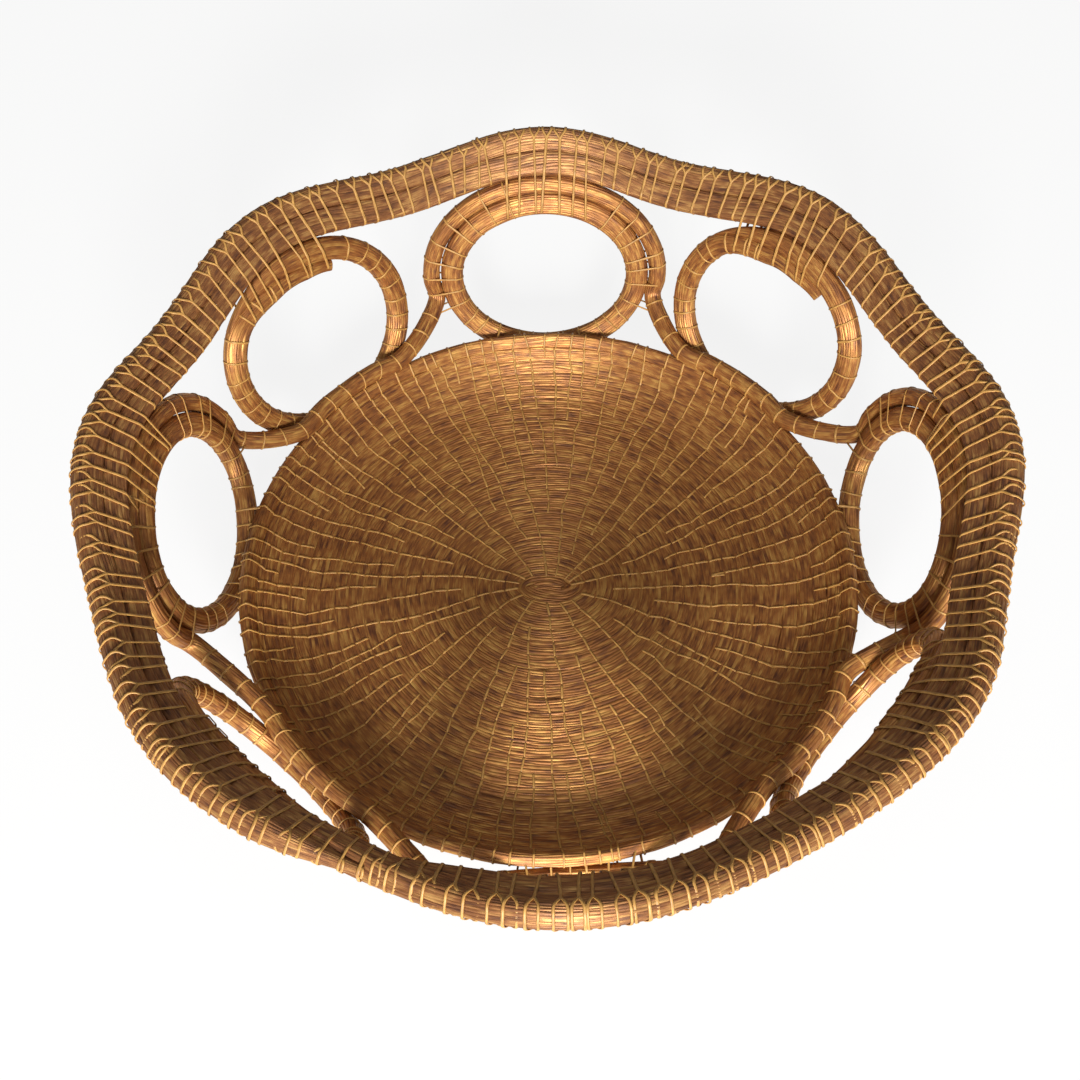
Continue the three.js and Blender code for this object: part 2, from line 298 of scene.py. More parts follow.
# A bundle of stems swept along a coil: each stem is a rounded ridge that wanders a little.
def stemBundle(centre, up, wide, tall, look, closed=False):
    count = len(centre)
    along, leg = lineWays(centre, closed)
    side = unit(np.cross(up, along))
    above = np.cross(along, side)
    fullWide, fullTall = np.max(wide), np.max(tall)
    share, x, y, nx, ny, girth = sectionTable(fullWide, fullTall, look["square"])
    stems = int(round(girth / grassLook["stem"]))
    every = look["hold"] / max(np.median(leg), 0.1)
    edges = np.arange(stems) + look["stray"] * wander(count, stems, every, closed)
    edges = edges + look["roll"] * wander(count, 1, 3 * every, closed)
    nextEdges = np.concatenate([edges[:, 1:], edges[:, :1] + stems], axis=1)
    size = nextEdges - edges
    facing = np.interp((np.arange(stems) + 0.5) / stems, share, ny)
    stemOf, across = ridgePoints(facing, look.get("rows"))
    swell = np.sqrt(1 - (2 * across - 1) ** 2)
    at = edges[:, stemOf] + across * size[:, stemOf]
    lift = look["depth"] * (swell * np.sqrt(size[:, stemOf]) - 1)
    lift = lift + look["proud"] * wander(count, stems, every, closed)[:, stemOf] * swell
    lift = lift * np.minimum(1, np.minimum(wide / fullWide, tall / fullTall))[:, None]
    at = (at / stems) % 1
    section = [np.interp(at, share, v) for v in (x, y, nx, ny)]
    if "free" in look:
        # a free edge is rounder than the sides that lie against another row
        rounder = sectionTable(fullWide, fullTall, look["edge"])
        mix = look["free"][:, None] * np.clip(-2 * section[0], 0, 1)
        section = [v + mix * (np.interp(at, rounder[0], w) - v) for v, w in zip(section, rounder[1:5])]
    outX = section[0] * wide[:, None] + section[2] * lift
    outY = section[1] * tall[:, None] + section[3] * lift
    verts = centre[:, None] + side[:, None] * outX[..., None] + above[:, None] * outY[..., None]
    run = np.concatenate([[0], np.cumsum(leg)])
    lane = np.append((stemOf + across) * grassLook["stem"], stems * grassLook["stem"])
    return verts, run, lane


# Mesh of one or more tubes of equal make: corners by tube, station and side.
def tubeMesh(name, corners, run, lane, closed, material):
    tubes, rows, sides = corners.shape[:3]
    spans = rows if closed else rows - 1
    t, i, k = np.meshgrid(np.arange(tubes), np.arange(spans), np.arange(sides), indexing="ij")
    j, m = (i + 1) % rows, (k + 1) % sides
    quads = [(t * rows + a) * sides + b for a, b in ((i, k), (i, m), (j, m), (j, k))]
    faces = np.stack(quads, axis=-1).reshape(-1, 4).tolist()
    run = np.broadcast_to(run, (tubes, np.shape(run)[-1]))
    us = np.stack([run[t, i], run[t, i], run[t, i + 1], run[t, i + 1]], axis=-1)
    vs = np.stack([lane[k], lane[k + 1], lane[k + 1], lane[k]], axis=-1)
    uvs = np.stack([us, vs], axis=-1).reshape(-1, 2)
    points = corners.reshape(-1, 3)
    if not closed:
        # the ends have corners of their own, so that they don't bend the shading of the sides
        first = len(points)
        points = np.concatenate([points, corners[:, 0].reshape(-1, 3), corners[:, -1].reshape(-1, 3)])
        for tube in range(tubes):
            start = first + tube * sides
            end = start + tubes * sides
            faces.append(list(range(start + sides - 1, start - 1, -1)))
            faces.append(list(range(end, end + sides)))
        endGrain = np.stack([lane[:-1] * 0.2, lane[:-1]], axis=1)    # a short slant of the grain
        uvs = np.concatenate([uvs, np.tile(endGrain, (2 * tubes, 1))])
    points = np.maximum(points, (-np.inf, -np.inf, 0.0))    # the table presses the base flat
    mesh = bpy.data.meshes.new(name)
    mesh.from_pydata((points * mm).tolist(), [], faces)
    mesh.polygons.foreach_set("use_smooth", np.ones(len(faces), bool))
    layer = mesh.uv_layers.new(name="grain")
    layer.data.foreach_set("uv", (uvs * mm).astype(np.float32).ravel())
    mesh.materials.append(material)
    mesh.update()
    piece = bpy.data.objects.new(name, mesh)
    bpy.context.collection.objects.link(piece)
    return piece


def place(piece, slot, *nodes):
    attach(piece, "root")
    if nodes:
        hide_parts(*nodes)
    print("  ", piece.name, len(piece.data.polygons), "faces")


def addCoil(name, node, centre, up, wide, tall, look, closed=False):
    verts, run, lane = stemBundle(centre, up, wide, tall, look, closed)
    coil = tubeMesh(name, verts[None], run, lane, closed, look.get("skin", grass))
    place(coil, "golden_grass", node)


# Flat thread along many paths of the same number of points.
def addThreads(name, paths, outward, wide, thick, closed, *nodes):
    along, leg = lineWays(paths, closed)
    side = unit(np.cross(outward, along))
    out = np.cross(along, side)
    sides = threadLook["sides"]
    angle = fullTurn * np.arange(sides) / sides
    halfWide, halfThick = (np.broadcast_to(v, paths.shape[:2])[..., None] / 2 for v in (wide, thick))
    corners = paths[:, :, None] + side[:, :, None] * (np.cos(angle) * halfWide)[..., None] \
        + out[:, :, None] * (np.sin(angle) * halfThick)[..., None]
    run = np.concatenate([np.zeros((len(paths), 1)), np.cumsum(leg, axis=1)], axis=1)
    run = run + rng.uniform(0, threadLook["shift"], (len(paths), 1))
    lane = np.linspace(0, threadLook["girth"], sides + 1)
    place(tubeMesh(name, corners, run, lane, closed, palm), "palm_thread", *nodes)


# Loops of thread pulled tight round circles that lie side by side: points and outward ways.
def tightLoop(circles, grow, steps):
    a, b, half = (np.stack(part, 1) for part in zip(*circles))
    turn = fullTurn * np.arange(steps) / steps
    ca, sb = np.cos(turn), np.sin(turn)
    reach = a[:, None, :] * ca[:, None] + b[:, None, :] * sb[:, None] + half[:, None, :]
    best = np.argmax(reach, axis=2)
    row = np.arange(len(a))[:, None]
    size = half[row, best] + grow
    return a[row, best] + size * ca, b[row, best] + size * sb, ca, sb


# the same loops with their points spaced evenly, so that straight parts can bend too
def evenLoop(a, b, ca, sb, steps):
    even = np.empty((4, len(a), steps))
    for k in range(len(a)):
        loop = np.stack([a[k], b[k], ca, sb], axis=1)
        loop = np.concatenate([loop, loop[:1]])
        at = np.concatenate([[0], np.cumsum(np.hypot(np.diff(loop[:, 0]), np.diff(loop[:, 1])))])
        spot = at[-1] * np.arange(steps) / steps
        even[:, k] = [np.interp(spot, at, loop[:, c]) for c in range(4)]
    return even


# Dish: one coil wound from a short straight start, flat and then up the wall
dish = {
    "pitch": 5.9, "floor": 86.0, "bend": 36.5, "slope": math.radians(50),
    "coil": 5.4, "sides": 6,    # of the solids
    "start": 6.0,               # half of the straight start
    "startShare": 0.45, "startTurns": 0.25,    # the coil swells from this share of its width
    "halfWide": 3.65, "halfTall": 2.2, "rows": True,
    "square": 8.0, "depth": 0.24, "proud": 0.2, "stray": 0.34, "roll": 0.8, "hold": 8.0,
    "step": 3.2, "mostTurn": math.radians(11), "leastRadius": 4.0,    # of the stations along it
    "topGap": 2.9,              # from the top of the wall to the middle of the edge row
    "tip": 1.2,                 # width at which the last row ends
}
heart = {
    **dish, "halfWide": 2.6, "square": 3.0, "rows": False,
    "reach": 1.5,               # times half of the straight start
    "stations": 11, "full": 0.94, "taper": 0.3,
}
edge = {**dish, "halfWide": 3.1, "halfTall": 2.4, "square": 3.2, "rows": False}
edgeRow = dish["floor"] + dish["bend"] * dish["slope"]
wallTop = edgeRow - dish["topGap"]
floorLevel = dish["coil"] / 2 * math.cos(math.pi / dish["sides"])


# Section of the dish by the length from its middle; on the bend a row tilts over its lower corner.
def dishSection(length):
    length = np.asarray(length, float)
    bend = np.maximum(length - dish["floor"], 0) / dish["bend"]
    radius = np.minimum(length, dish["floor"]) + dish["bend"] * np.sin(bend)
    tilt = dish["coil"] / 4 * np.sin(bend)
    height = floorLevel + dish["bend"] * (1 - np.cos(bend)) + tilt
    return radius, height, bend


edgeRadius, edgeHeight = (float(v) for v in dishSection(edgeRow)[:2])


# point of the dish, with the start drawn out along x, and the way out of its surface
def dishPoint(azimuth, length, lift=0.0):
    radius, height, bend = dishSection(length)
    point = polar(azimuth, radius, height)
    stretch = dish["start"] * np.maximum(1 - radius / dish["floor"], 0)
    point[..., 0] += stretch * np.cos(azimuth)
    out = polar(azimuth, -np.sin(bend), np.cos(bend))
    return point + out * np.asarray(lift)[..., None], out


def rowSpan(turn):
    inner = (turn - 0.5) * dish["pitch"]
    return inner, np.minimum(inner + dish["pitch"], wallTop)


def dishTurns():
    turns = [0.0]
    while True:
        inner, outer = rowSpan(turns[-1])
        if outer - inner < dish["tip"]:
            return np.array(turns)
        radius = max(dishSection(turns[-1] * dish["pitch"])[0], dish["leastRadius"])
        turns.append(turns[-1] + min(dish["step"] / radius, dish["mostTurn"]) / fullTurn)


# the short straight bundle that the coil starts round
def addHeart():
    end = heart["reach"] * dish["start"]
    x = np.linspace(-end, end, heart["stations"])
    line = np.stack([x, 0 * x, 0 * x + floorLevel], axis=1)
    thin = heart["full"] - heart["taper"] * (np.abs(x) / end) ** 3
    wide, tall = heart["halfWide"] * thin, heart["halfTall"] * thin
    verts, run, lane = stemBundle(line, (0, 0, 1.0), wide, tall, heart)
    place(tubeMesh("dish_heart", verts[None], run, lane, False, grass), "golden_grass")


def addDish():
    turn = dishTurns()
    inner, outer = rowSpan(turn)
    centre, up = dishPoint(turn * fullTurn, (inner + outer) / 2)
    wide = (outer - inner) / dish["pitch"] * dish["halfWide"]
    swell = smooth(turn, 0, dish["startTurns"])
    wide = wide * (dish["startShare"] + (1 - dish["startShare"]) * swell)
    tall = np.full(len(turn), dish["halfTall"])
    verts, run, lane = stemBundle(centre, up, wide, tall, dish)
    addHeart()
    split = int(np.argmax(turn * dish["pitch"] > dish["floor"]))
    floorPart = tubeMesh("dish_floor", verts[None, :split + 1], run[:split + 1], lane, False, grass)
    place(floorPart, "golden_grass", "floor_coil")
    wallPart = tubeMesh("dish_wall", verts[None, split:], run[split:], lane, False, grass)
    place(wallPart, "golden_grass", "wall_coil")

    count = int(fullTurn * edgeRadius / edge["step"])
    centre, up = dishPoint(fullTurn * np.arange(count) / count, np.full(count, edgeRow))
    wide, tall = np.full(count, edge["halfWide"]), np.full(count, edge["halfTall"])
    addCoil("dish_edge", "edge_coil", centre, up, wide, tall, edge, True)


# Dish stitches: lines from the middle outwards, with new ones wherever two have spread apart
dishSewing = {
    "spacing": 7.6, "first": 15, "uneven": 0.2,
    "split": 1.42, "splitAt": (0.4, 0.6),    # spacings that take a new line, and where in the gap
    "sway": 0.6, "mostSway": 1.6, "swirl": 0.25, "edgeSway": 0.6,
    "least": 2.4,                      # width of the narrowest row that is sewn
    "edgeHalf": 2.95,
    "proud": 0.12, "edgeProud": 0.22,  # over the top of the coil
    "tight": 0.22,                     # closer underneath
    "past": 1.06,                      # into the gaps between rows
    "overPower": 0.5, "liftPower": 0.3,    # how square the loop is
    "wide": 0.85, "thick": 0.45, "steps": 14,
}
stitchWidths = (0.8, 1.2)    # no two stitches are quite as wide


# each stitch's turn of the coil, where it starts and ends, and where the lines arrive at the edge
def dishLines():
    first, uneven = dishSewing["first"], dishSewing["uneven"]
    lines = fullTurn * (np.arange(first) + rng.uniform(-uneven, uneven, first)) / first
    rows = []
    lastRow = int(edgeRow / dish["pitch"]) + 1
    for row in range(1, lastRow + 1):
        radius = float(dishSection((row + 0.5) * dish["pitch"])[0])
        lines = np.sort(lines % fullTurn)
        gaps = np.diff(np.append(lines, lines[0] + fullTurn))
        new = lines + gaps * rng.uniform(*dishSewing["splitAt"], len(lines))
        lines = np.concatenate([lines, new[gaps * radius > dishSewing["split"] * dishSewing["spacing"]]])
        shift = dishSewing["swirl"] + dishSewing["sway"] * rng.normal(size=len(lines))
        ends = lines + np.clip(shift, -dishSewing["mostSway"], dishSewing["mostSway"]) / radius
        rows.append((row + (lines + ends) / 2 / fullTurn, lines, ends))
        lines = ends
    turn, start, end = (np.concatenate(part) for part in zip(*rows))
    return turn, start, end, lines


def addDishStitches():
    turn, start, end, lines = dishLines()
    inner, outer = rowSpan(turn)
    keep = outer - inner > dishSewing["least"]
    start, end, inner, outer = (v[keep] for v in (start, end, inner, outer))

    # the top row has its own stitches, where the lines of the wall arrive
    top = np.ones(len(lines))
    above = np.append(np.full(len(inner), dish["halfTall"] + dishSewing["proud"]),
                      top * (edge["halfTall"] + dishSewing["edgeProud"]))
    inner = np.append(inner, top * (edgeRow - dishSewing["edgeHalf"]))
    outer = np.append(outer, top * (edgeRow + dishSewing["edgeHalf"]))
    start = np.append(start, lines)
    end = np.append(end, lines + rng.normal(size=len(lines)) * dishSewing["edgeSway"] / edgeRadius)

    psi = math.pi - fullTurn * np.arange(dishSewing["steps"]) / dishSewing["steps"]
    over = signedPower(np.cos(psi), dishSewing["overPower"]) * dishSewing["past"]
    lift = signedPower(np.sin(psi), dishSewing["liftPower"])
    lift = lift * np.where(lift > 0, above[:, None], above[:, None] - dishSewing["tight"])
    azimuth = ((start + end) / 2)[:, None] + ((end - start) / 2)[:, None] * over
    length = ((inner + outer) / 2)[:, None] + ((outer - inner) / 2)[:, None] * over
    path = dishPoint(azimuth, length, lift)[0]
    outAlong = unit(path - path.mean(axis=1, keepdims=True))
    wide = dishSewing["wide"] * rng.uniform(*stitchWidths, (len(path), 1))
    addThreads("dish_stitches", path, outAlong, wide, dishSewing["thick"], True)


addDish()
addDishStitches()
print("dish wound and sewn")


# Rings: high ones carry the rim and lap past their own start, low ones leave room for the wave
rings = {
    "drift": (0, 2.5, 3.2, 7.3, 3.6, -0.3, -3.8, -0.9),   # degrees off the even places
    "rope": 8.5, "thick": 6.6, "height": 71.3, "corner": 5.5,
    "seat": math.radians(-57), "lowLean": math.radians(68.5), "highLean": math.radians(70.5),
    "tailTurn": 0.12, "tailTip": 4.0, "tailFrom": math.radians(-12), "gap": 0.5,
    "wedgeTip": 0.2, "wedgeTurn": 0.01, "leastHalf": 2.2,    # where the coil of a high ring starts
    "square": 2.4, "depth": 0.22, "proud": 0.14, "stray": 0.34, "roll": 1.2, "hold": 10.0,
    "step": 2.0, "lowMean": 36.0, "highMean": 37.0,    # stations, and radius for counting them
    "full": 0.35,         # visual coils fill the gaps between the solids
}
rim = {
    "coil": 8.6, "flare": math.radians(43), "swell": 2.2, "rise": 2.85, "step": math.radians(40),
    "gap": 0.5,
    "tuck": math.radians(14), "tuckShare": 0.35, "tuckPast": 0.002,    # how its ends thin out
    "square": 4.4, "edge": 2.4, "depth": 0.24, "proud": 0.16, "stray": 0.34, "roll": 1.2, "hold": 10.0,
    "stations": 320,      # in one turn
    "full": 0.45, "flat": 0.1,    # the two rows are pressed together
    "freeTurns": (0.92, 1.08),    # where the coil's outer side comes free
    # the rim's grass is darkened: painted shade
    "skin": rimShadedGrass,
}
wave = {
    "rope": 6.6, "seat": math.radians(62), "lay": 27.0, "leave": math.radians(105), "gap": 0.5,
    "overPoints": 17, "layPoints": 5,
    "square": 2.2, "depth": 0.22, "proud": 0.14, "stray": 0.34, "roll": 1.2, "hold": 10.0,
    "step": 2.2, "full": 0.2,
}
ringCount = len(rings["drift"])
ringAzimuths = [math.radians(90 - 360 / ringCount * i + rings["drift"][i]) for i in range(ringCount)]
tightest = min((ringAzimuths[i - 1] - ringAzimuths[i]) % fullTurn for i in range(ringCount))
ringReach = dish["coil"] / 2 + rings["rope"] / 2 + rings["gap"]
footRadius = edgeRadius + ringReach * math.cos(rings["seat"])
footHeight = edgeHeight + ringReach * math.sin(rings["seat"])
flareOut, flareUp = math.cos(rim["flare"]), math.sin(rim["flare"])
rimReach = rings["rope"] / 2 + rim["gap"] + rim["coil"] / 2
rimRadius = footRadius + rings["height"] * math.cos(rings["highLean"]) + rimReach * flareOut
rimHeight = footHeight + rings["height"] * math.sin(rings["highLean"]) + rimReach * flareUp
waveOnRing = rings["rope"] / 2 + wave["gap"] + wave["rope"] / 2


# a low ring is as tall as leaves room for the wave between it and the rim
def lowHeight():
    lean = rings["lowLean"]
    out, up = rimRadius - footRadius, rimHeight - footHeight
    along = out * math.cos(lean) + up * math.sin(lean)
    aside = out * math.sin(lean) - up * math.cos(lean)
    underRim = wave["rope"] / 2 + wave["gap"] + rim["coil"] / 2
    return along - math.sqrt(max(underRim ** 2 - aside ** 2, 0)) - waveOnRing


def ringFrame(index):
    low = index % 2 == 0
    lean = rings["lowLean"] if low else rings["highLean"]
    azimuth = ringAzimuths[index]
    half = (lowHeight() if low else rings["height"]) / 2
    radius = footRadius + half * math.cos(lean)
    height = footHeight + half * math.sin(lean)
    return {
        "low": low, "azimuth": azimuth, "halfHeight": half,
        "halfWidth": radius * math.tan(tightest / 2) - rings["corner"] - rings["rope"] / 2,
        "topRadius": radius + half * math.cos(lean),
        "centre": polar(azimuth, radius, height),
        "across": polar(azimuth - math.pi / 2, 1.0, 0.0),
        "slope": polar(azimuth, math.cos(lean), math.sin(lean)),
        "inwards": polar(azimuth, -math.sin(lean), math.cos(lean)),
    }


allRings = [ringFrame(i) for i in range(ringCount)]


def ringPoint(ring, angle, halfWidth, halfHeight):
    return ring["centre"] + ring["across"] * (halfWidth * np.sin(angle))[..., None] \
        + ring["slope"] * (halfHeight * np.cos(angle))[..., None]


# width and inward shift of a high ring's coil where it laps
def lapHalf(turn):
    left = np.maximum(1 + rings["tailTurn"] - turn, 0)
    share = np.minimum(np.minimum(turn / (rings["tailTurn"] / 2), left / (2 * rings["tailTurn"])), 1)
    return (rings["tailTip"] + (rings["rope"] - rings["tailTip"]) * share) / 2


def lapInset(turn):
    lap = np.maximum(turn, 1)
    shift = lapHalf(lap - 1) + rings["gap"] + lapHalf(lap)
    return np.where(turn >= 1, shift, smooth(turn, 1 - rings["tailTurn"], 1) * shift)


# The start is a long wedge pressed between the outside of the ring and the lap that covers it.
def ringShape(ring, turn):
    full = rings["rope"] / 2 + rings["full"]
    if ring["low"]:
        return np.zeros(len(turn)), np.full(len(turn), full)
    under = np.maximum(lapHalf(turn + 1) - lapInset(turn + 1), -full)
    wedge = np.maximum((full - under) / 2, rings["wedgeTip"])
    first = turn < rings["tailTurn"]
    inset = np.where(first, -(full + under) / 2, lapInset(turn))
    return inset, np.where(first, wedge, lapHalf(turn) + rings["full"])


def ringLine(ring, turn):
    inset, half = ringShape(ring, turn)
    angle = rings["tailFrom"] + turn * fullTurn
    return ringPoint(ring, angle, ring["halfWidth"] - inset, ring["halfHeight"] - inset), half


def addRings():
    for i, ring in enumerate(allRings):
        if ring["low"]:
            count = int(fullTurn * rings["lowMean"] / rings["step"])
            turn = np.arange(count) / count
        else:
            first, last = rings["wedgeTurn"] - rings["tailTurn"], 1 + rings["tailTurn"]
            count = int(fullTurn * rings["highMean"] * (last - first) / rings["step"])
            turn = np.linspace(first, last, count)
        centre, half = ringLine(ring, turn)
        thick = np.maximum(half, rings["leastHalf"]) * rings["thick"] / rings["rope"]
        name, node = "ring_%d_coil" % (i + 1), "ring_%d" % (i + 1)
        addCoil(name, node, centre, ring["inwards"], half, thick, rings, ring["low"])


addRings()
print("rings wound")


# Rim: one coil wound twice, the inner row on the ring tops
rimPitch = rim["coil"] + rim["gap"]
rimStepAt = (ringAzimuths[4] + ringAzimuths[5]) / 2    # between two rings, on the near side


def rimSection(azimuth, row):
    azimuth = np.asarray(azimuth, float)
    behind = np.min([(azimuth - a) % fullTurn for a in ringAzimuths], axis=0)
    ahead = np.min([(a - azimuth) % fullTurn for a in ringAzimuths], axis=0)
    swing = np.cos(fullTurn * behind / np.maximum(behind + ahead, 1e-9)) - 1
    radius = rimRadius + row * rimPitch * flareOut + rim["swell"] * swing
    height = rimHeight + row * rimPitch * flareUp + rim["rise"] * swing
    return radius, height


def rimRow(turn):
    half = rim["step"] / 2 / fullTurn
    return smooth(turn, 1 - half, 1 + half)


# both ends are pressed in beside the row that steps past them
def rimHalf(turn):
    left = np.minimum(turn, 2 - turn)
    swell = smooth(left, -rim["tuckPast"], rim["tuck"] / fullTurn)
    return rim["coil"] / 2 * (rim["tuckShare"] + (1 - rim["tuckShare"]) * swell)


def addRim():
    turn = np.linspace(0, 2, 2 * rim["stations"] + 1)
    half = rimHalf(turn)
    azimuth = rimStepAt + turn * fullTurn
    line = polar(azimuth, *rimSection(azimuth, rimRow(turn)))
    up = polar(azimuth, -flareUp, flareOut)
    look = {**rim, "free": smooth(turn, *rim["freeTurns"])}
    addCoil("rim_winding", "rim_coil", line, up, half + rim["full"], half + rim["flat"], look)


addRim()
print("rim wound")


# Wave coil: round each low ring under the rim, and along the dish edge in front of each high ring
waveHalf = wave["rope"] / 2 + wave["full"]


def waveOver(ring, angle):
    halfWidth = ring["halfWidth"] + waveOnRing + wave["gap"]
    return ringPoint(ring, angle, halfWidth, ring["halfHeight"] + waveOnRing)


# closed curve through the points, even steps along it
def curveThrough(points, step):
    p0, p1, p2, p3 = (np.roll(points, s, 0)[:, None] for s in (1, 0, -1, -2))
    d0, d1, d2 = (np.maximum(np.linalg.norm(b - a, axis=-1, keepdims=True), 1e-6) ** 0.5
                  for a, b in ((p0, p1), (p1, p2), (p2, p3)))
    t1 = ((p1 - p0) / d0 - (p2 - p0) / (d0 + d1) + (p2 - p1) / d1) * d1
    t2 = ((p2 - p1) / d1 - (p3 - p1) / (d1 + d2) + (p3 - p2) / d2) * d1
    fine = 40    # points in each span
    s = (np.arange(fine) / fine)[None, :, None]
    bow, twist = -3 * p1 + 3 * p2 - 2 * t1 - t2, 2 * p1 - 2 * p2 + t1 + t2
    curve = (p1 + t1 * s + bow * s ** 2 + twist * s ** 3).reshape(-1, 3)
    at = np.concatenate([[0], np.cumsum(lineWays(curve, True)[1])])
    curve = np.concatenate([curve, curve[:1]])
    count = int(round(at[-1] / step))
    even = at[-1] * np.arange(count) / count
    return np.stack([np.interp(even, at, curve[:, k]) for k in range(3)], axis=1)


def waveLine(step):
    reach = dish["coil"] / 2 + wave["gap"] + wave["rope"] / 2
    lieRadius = edgeRadius + reach * math.cos(wave["seat"])
    lieHeight = edgeHeight + reach * math.sin(wave["seat"])
    points = []
    for ring in allRings:
        if ring["low"]:
            points.append(waveOver(ring, wave["leave"] * np.linspace(-1, 1, wave["overPoints"])))
        else:
            lie = ring["azimuth"] - wave["lay"] / edgeRadius * np.linspace(-1, 1, wave["layPoints"])
            points.append(polar(lie, lieRadius, lieHeight))
    return curveThrough(np.concatenate(points), step)


def waveUp(line):
    lean = rings["lowLean"]
    return polar(np.arctan2(line[:, 1], line[:, 0]), -math.sin(lean), math.cos(lean))


def addWave():
    line = waveLine(wave["step"])
    half = np.full(len(line), waveHalf)
    addCoil("wave_winding", "wave_coil", line, waveUp(line), half, half, wave, True)


addWave()
print("wave wound")


# Sewing on the rings, the wave and the rim
sewing = {
    "wide": 0.85, "thick": 0.45, "grow": 0.1, "steps": 28, "slant": 0.6,
    "reach": 1.6,      # between coils that one stitch takes in
    "rimRoom": 2.2,    # nearer to the rim its own stitches hold a coil
}
nothing = -1e6         # half size of a coil that isn't there
roundTurn = np.linspace(0, fullTurn, 720, endpoint=False)
edgeLine = polar(roundTurn, edgeRadius, edgeHeight)
rimInner = polar(roundTurn, *rimSection(roundTurn, 0))
fineWave = waveLine(1.0)


# nearest point of a line to each of some points, how far it is, and its number
def nearestPoint(points, line):
    gap = np.linalg.norm(points[:, None] - line[None], axis=2)
    best = gap.argmin(axis=1)
    return line[best], gap[np.arange(len(points)), best], best


def offRim(points, half):
    return nearestPoint(points, rimInner)[1] > rim["coil"] / 2 + half + sewing["rimRoom"]


# loops round a coil, taking in each neighbour that lies against it there
def sewRound(points, along, up, half, flat, neighbours):
    side = unit(np.cross(up, along))
    above = np.cross(along, side)
    circles = [(shift * half * (1 - flat), np.zeros(len(points)), half * flat) for shift in (-1, 1)]
    for line, otherHalf, reach in neighbours:
        near, gap, best = nearestPoint(points, line)
        away = near - points
        other = np.broadcast_to(otherHalf, len(line))[best]
        size = np.where(gap < half + other + reach, other, nothing)
        circles.append((np.sum(away * side, axis=1), np.sum(away * above, axis=1), size))
    x, y, ca, sb = tightLoop(circles, sewing["grow"], sewing["steps"])
    path = points[:, None] + side[:, None] * x[..., None] + above[:, None] * y[..., None]
    out = side[:, None] * ca[:, None] + above[:, None] * sb[:, None]
    slant = rng.normal(size=(len(points), 1)) * sewing["slant"]
    return path + along[:, None] * (slant * ca)[..., None], out


ringSewing = {
    "every": 8.5, "uneven": 0.2,
    "from": 0.13, "share": 0.86,           # turns that are sewn, past the lap
    "footHalf": 1.2, "footReach": 2.6,     # the needle goes through the middle of the edge row
    "lapTurns": (0.02, 0.05, 0.085),       # the lap is bound on with a few turns of its own
}


def ringWay(ring, turn):
    nudge = 0.004    # turns
    return unit(ringLine(ring, turn + nudge)[0] - ringLine(ring, turn - nudge)[0])


# stitches on one ring at some turns of its coil, where the rim's own don't hold it
def sewRing(ring, turn, neighbours):
    points, half = ringLine(ring, turn)
    free = offRim(points, half)
    flat = rings["thick"] / rings["rope"]
    along = ringWay(ring, turn)[free]
    return sewRound(points[free], along, ring["inwards"], half[free], flat, neighbours)


def addRingStitches():
    sewn = []
    count = int(round(fullTurn * rings["lowMean"] / ringSewing["every"]))
    for ring in allRings:
        spot = np.arange(count) + rng.uniform(-ringSewing["uneven"], ringSewing["uneven"], count) + 0.5
        turn = ringSewing["from"] + ringSewing["share"] * spot / count
        beside = [(edgeLine, ringSewing["footHalf"], ringSewing["footReach"])]
        if ring["low"]:
            beside.append((fineWave, waveHalf, sewing["reach"]))
        sewn.append(sewRing(ring, turn, beside))
        if not ring["low"]:
            lapTurn = np.array(ringSewing["lapTurns"])
            sewn.append(sewRing(ring, lapTurn, [(*ringLine(ring, lapTurn + 1), sewing["reach"])]))
    path, way = (np.concatenate(part) for part in zip(*sewn))
    wide = sewing["wide"] * rng.uniform(*stitchWidths, (len(path), 1))
    lashings = ["foot_lashing_%d" % (i + 1) for i in range(ringCount)]
    addThreads("ring_stitches", path, way, wide, sewing["thick"], True, *lashings)


waveSewing = {
    "every": 8.5,
    "ringRoom": 1.4,    # nearer to a low ring its own stitches hold the wave
}


def addWaveStitches():
    line = waveLine(waveSewing["every"])
    along = lineWays(line, True)[0]
    half = np.full(len(line), waveHalf)
    free = offRim(line, half)
    for ring in allRings[::2]:
        coil = ringLine(ring, np.linspace(0, 1, 240, endpoint=False))[0]
        free &= nearestPoint(line, coil)[1] > rings["rope"] / 2 + half + waveSewing["ringRoom"]
    path, way = sewRound(line[free], along[free], waveUp(line)[free], half[free], 1.0, [])
    wide = sewing["wide"] * rng.uniform(*stitchWidths, (len(path), 1))
    addThreads("wave_stitches", path, way, wide, sewing["thick"], True)


# Long stitches across both rows of the rim, and round whatever coil meets it from below.
# Each splits into two legs on the outer row, a loop with one leg and a short thread with the other.
rimSewing = {
    "every": 5.8, "mean": 152.0,               # spacing, and radius for counting stitches
    "uneven": 0.18, "lean": 0.5, "grow": 0.04,
    "steps": 56, "evenSteps": 80,
    "wide": 1.0, "widths": (0.85, 1.2),
    "flat": 0.15,                              # over the flat of a row
    "corner": 0.5, "outerCorner": 0.78,        # rounding, by half of a row's thickness
    "ringAside": 0.17, "ringPress": 0.9,       # radians from a ring's middle; share of its coil
    "mostAside": 0.5, "mostAcross": 0.9,       # farther out a ring's top isn't looked for
    "lapFrom": -0.06, "lapTo": 0.97, "flank": 0.3,    # turns of a ring's coil
    "waveSlack": 1.0, "waveAbove": 58.0, "waveAside": 0.02,    # mm, mm of height, radians
    "forkAt": 0.95, "forkFull": 1.45,          # rows from the inner one
    "forkOut": 2.0, "legs": (0.75, 1.25),
    "flatSteps": 7, "turnSteps": 15, "turnTo": -118,    # points of a second leg, and degrees
    "forkWide": 0.95, "forkTip": 0.6, "forkTaper": 3,
}


def turnAside(azimuth, other):
    return (other - azimuth + math.pi) % fullTurn - math.pi


